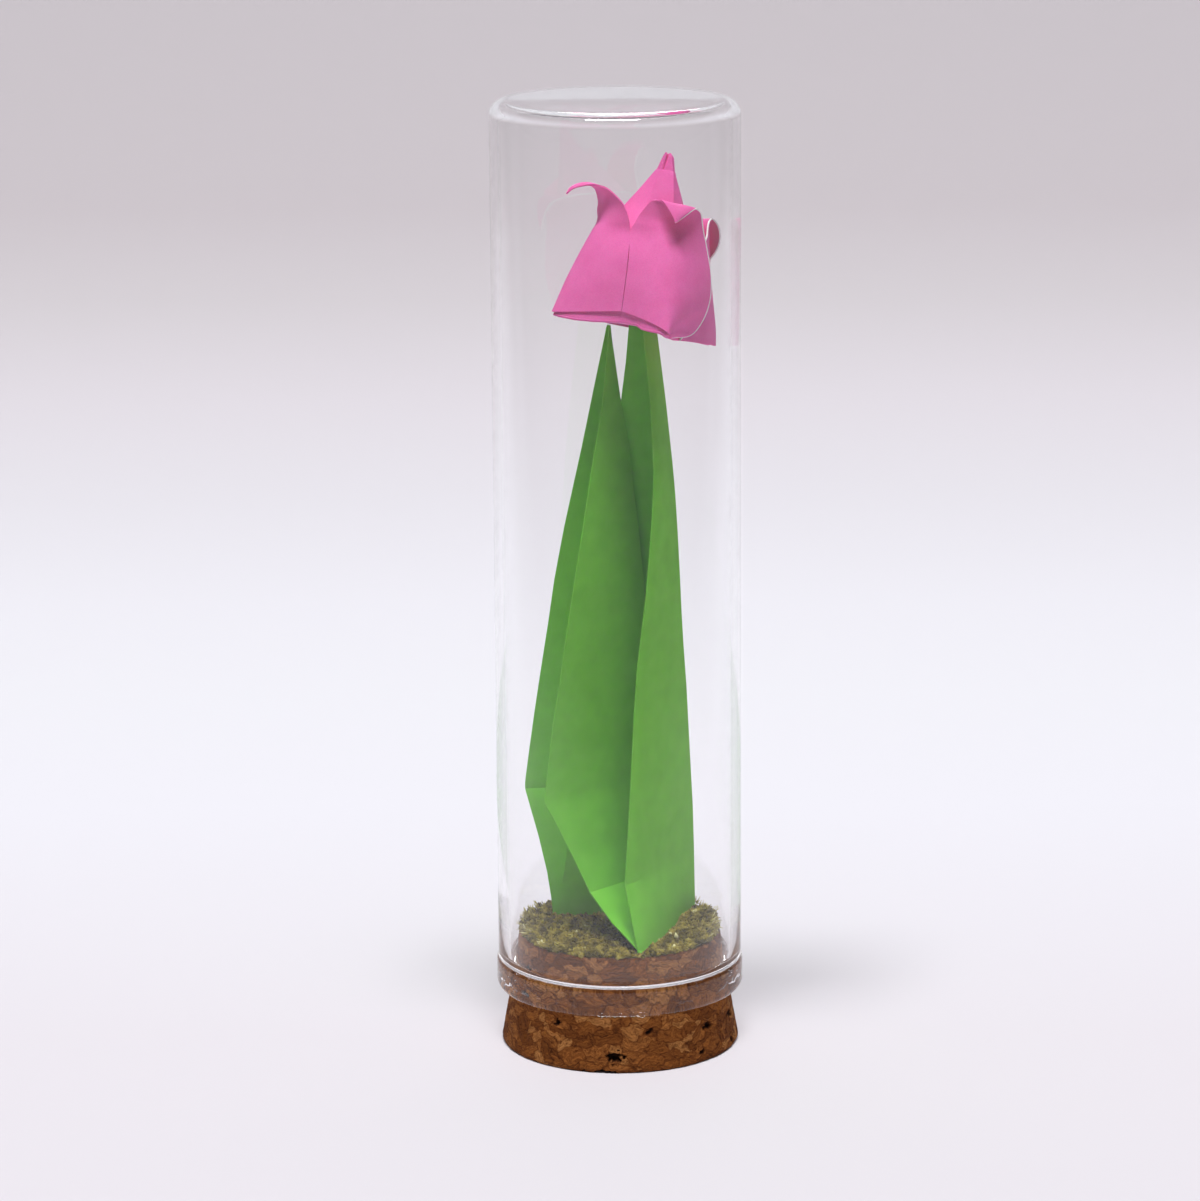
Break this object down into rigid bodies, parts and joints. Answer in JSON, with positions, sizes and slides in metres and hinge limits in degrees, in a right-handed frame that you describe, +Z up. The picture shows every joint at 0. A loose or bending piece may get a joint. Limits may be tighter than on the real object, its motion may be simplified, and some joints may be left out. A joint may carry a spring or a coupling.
{
  "type": "folded paper tulip under a corked glass tube",
  "caption": "Keepsake paper tulip with a folded stem and leaf, standing in moss on a tapered cork under an upturned clear glass tube.",
  "frame": {"origin": "centre of the cork's underside, on the surface that it stands on", "axes": "+Z up along the glass tube's axis, -Y towards the viewer, +X to the viewer's right"},
  "size_m": [0.0304, 0.0304, 0.1167],
  "materials": {
    "cork": "pressed cork granules, open and dry",
    "moss": "dried moss, rough and fibrous",
    "green_paper": "matt dyed paper, sharp folds",
    "pink_paper": "matt dyed paper with white cut edges",
    "clear_glass": "clear and polished, fire-rounded lip"
  },
  "bodies": {
    "root": {"cork_base": "cork", "moss_bed": "moss", "paper_stem_leaf": "green_paper", "paper_bloom": "pink_paper", "glass_tube": "clear_glass"}
  },
  "joints": []
}
